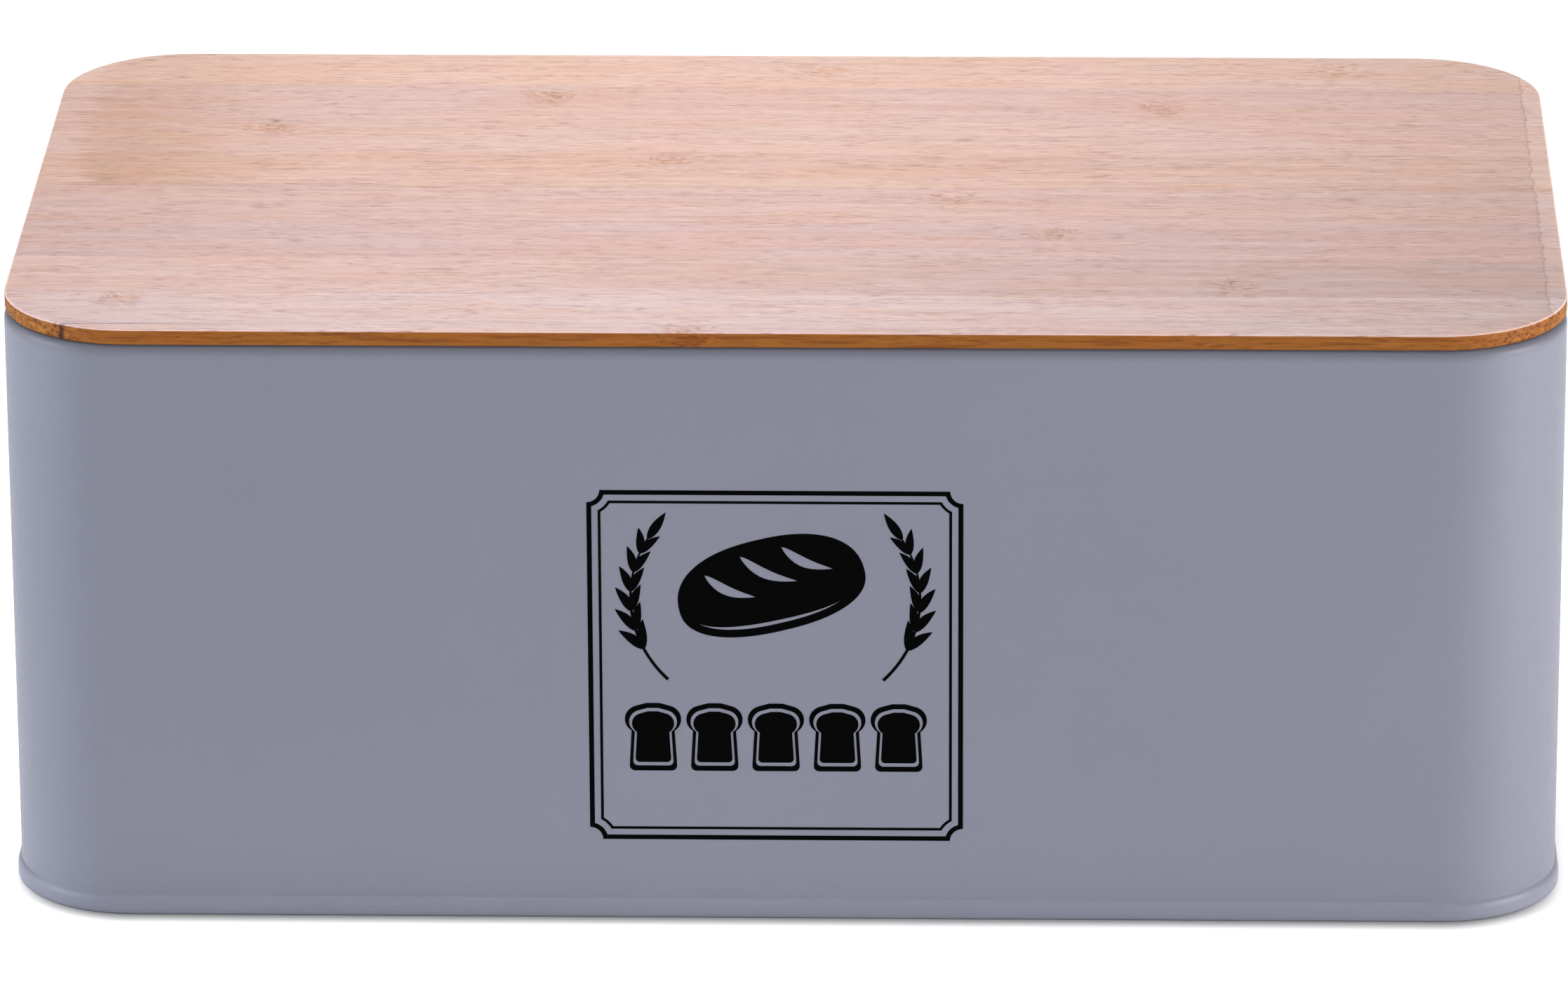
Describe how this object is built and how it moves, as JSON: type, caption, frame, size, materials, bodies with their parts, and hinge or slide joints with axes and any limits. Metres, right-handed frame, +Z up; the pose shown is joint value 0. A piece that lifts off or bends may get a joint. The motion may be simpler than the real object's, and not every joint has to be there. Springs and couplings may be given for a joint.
{
  "type": "bread bin",
  "caption": "Rectangular bread bin: a painted sheet-steel box with rounded corners, curled rim and seamed base, under a flat lift-off bamboo lid.",
  "frame": {"origin": "middle of the base, on the surface that the bin stands on", "axes": "+X along the bin's length, to the right of a person facing its front, +Y from its front to its back, +Z up"},
  "size_m": [0.3366, 0.1916, 0.1343],
  "materials": {
    "grey_paint": "satin lilac-grey powder coat, with a faint orange peel",
    "bamboo_face": "oiled bamboo, fine straight grain, pale pinkish-beige face and caramel edges",
    "bamboo_underside": "sanded bamboo, fine straight grain, no oil",
    "black_print": "screen-printed satin black ink on the front of the wall"
  },
  "bodies": {
    "tin": {"wall_shell": "grey_paint", "base_pan": "grey_paint"},
    "lid": {"lid_stave_1": "bamboo_face", "lid_stave_2": "bamboo_face", "lid_stave_3": "bamboo_face", "lid_stave_4": "bamboo_face", "lid_stave_5": "bamboo_face", "lid_stave_6": "bamboo_face", "lid_stave_7": "bamboo_face", "lid_stave_8": "bamboo_face", "lid_under_stave_1": "bamboo_underside", "lid_under_stave_2": "bamboo_underside", "lid_under_stave_3": "bamboo_underside", "lid_under_stave_4": "bamboo_underside", "lid_under_stave_5": "bamboo_underside", "lid_under_stave_6": "bamboo_underside", "lid_under_stave_7": "bamboo_underside"}
  },
  "joints": [
    {"name": "lid_lift", "type": "slide", "parent": "tin", "child": "lid", "axis": [0, 0, 1], "range_m": [0, 0.16]}
  ]
}
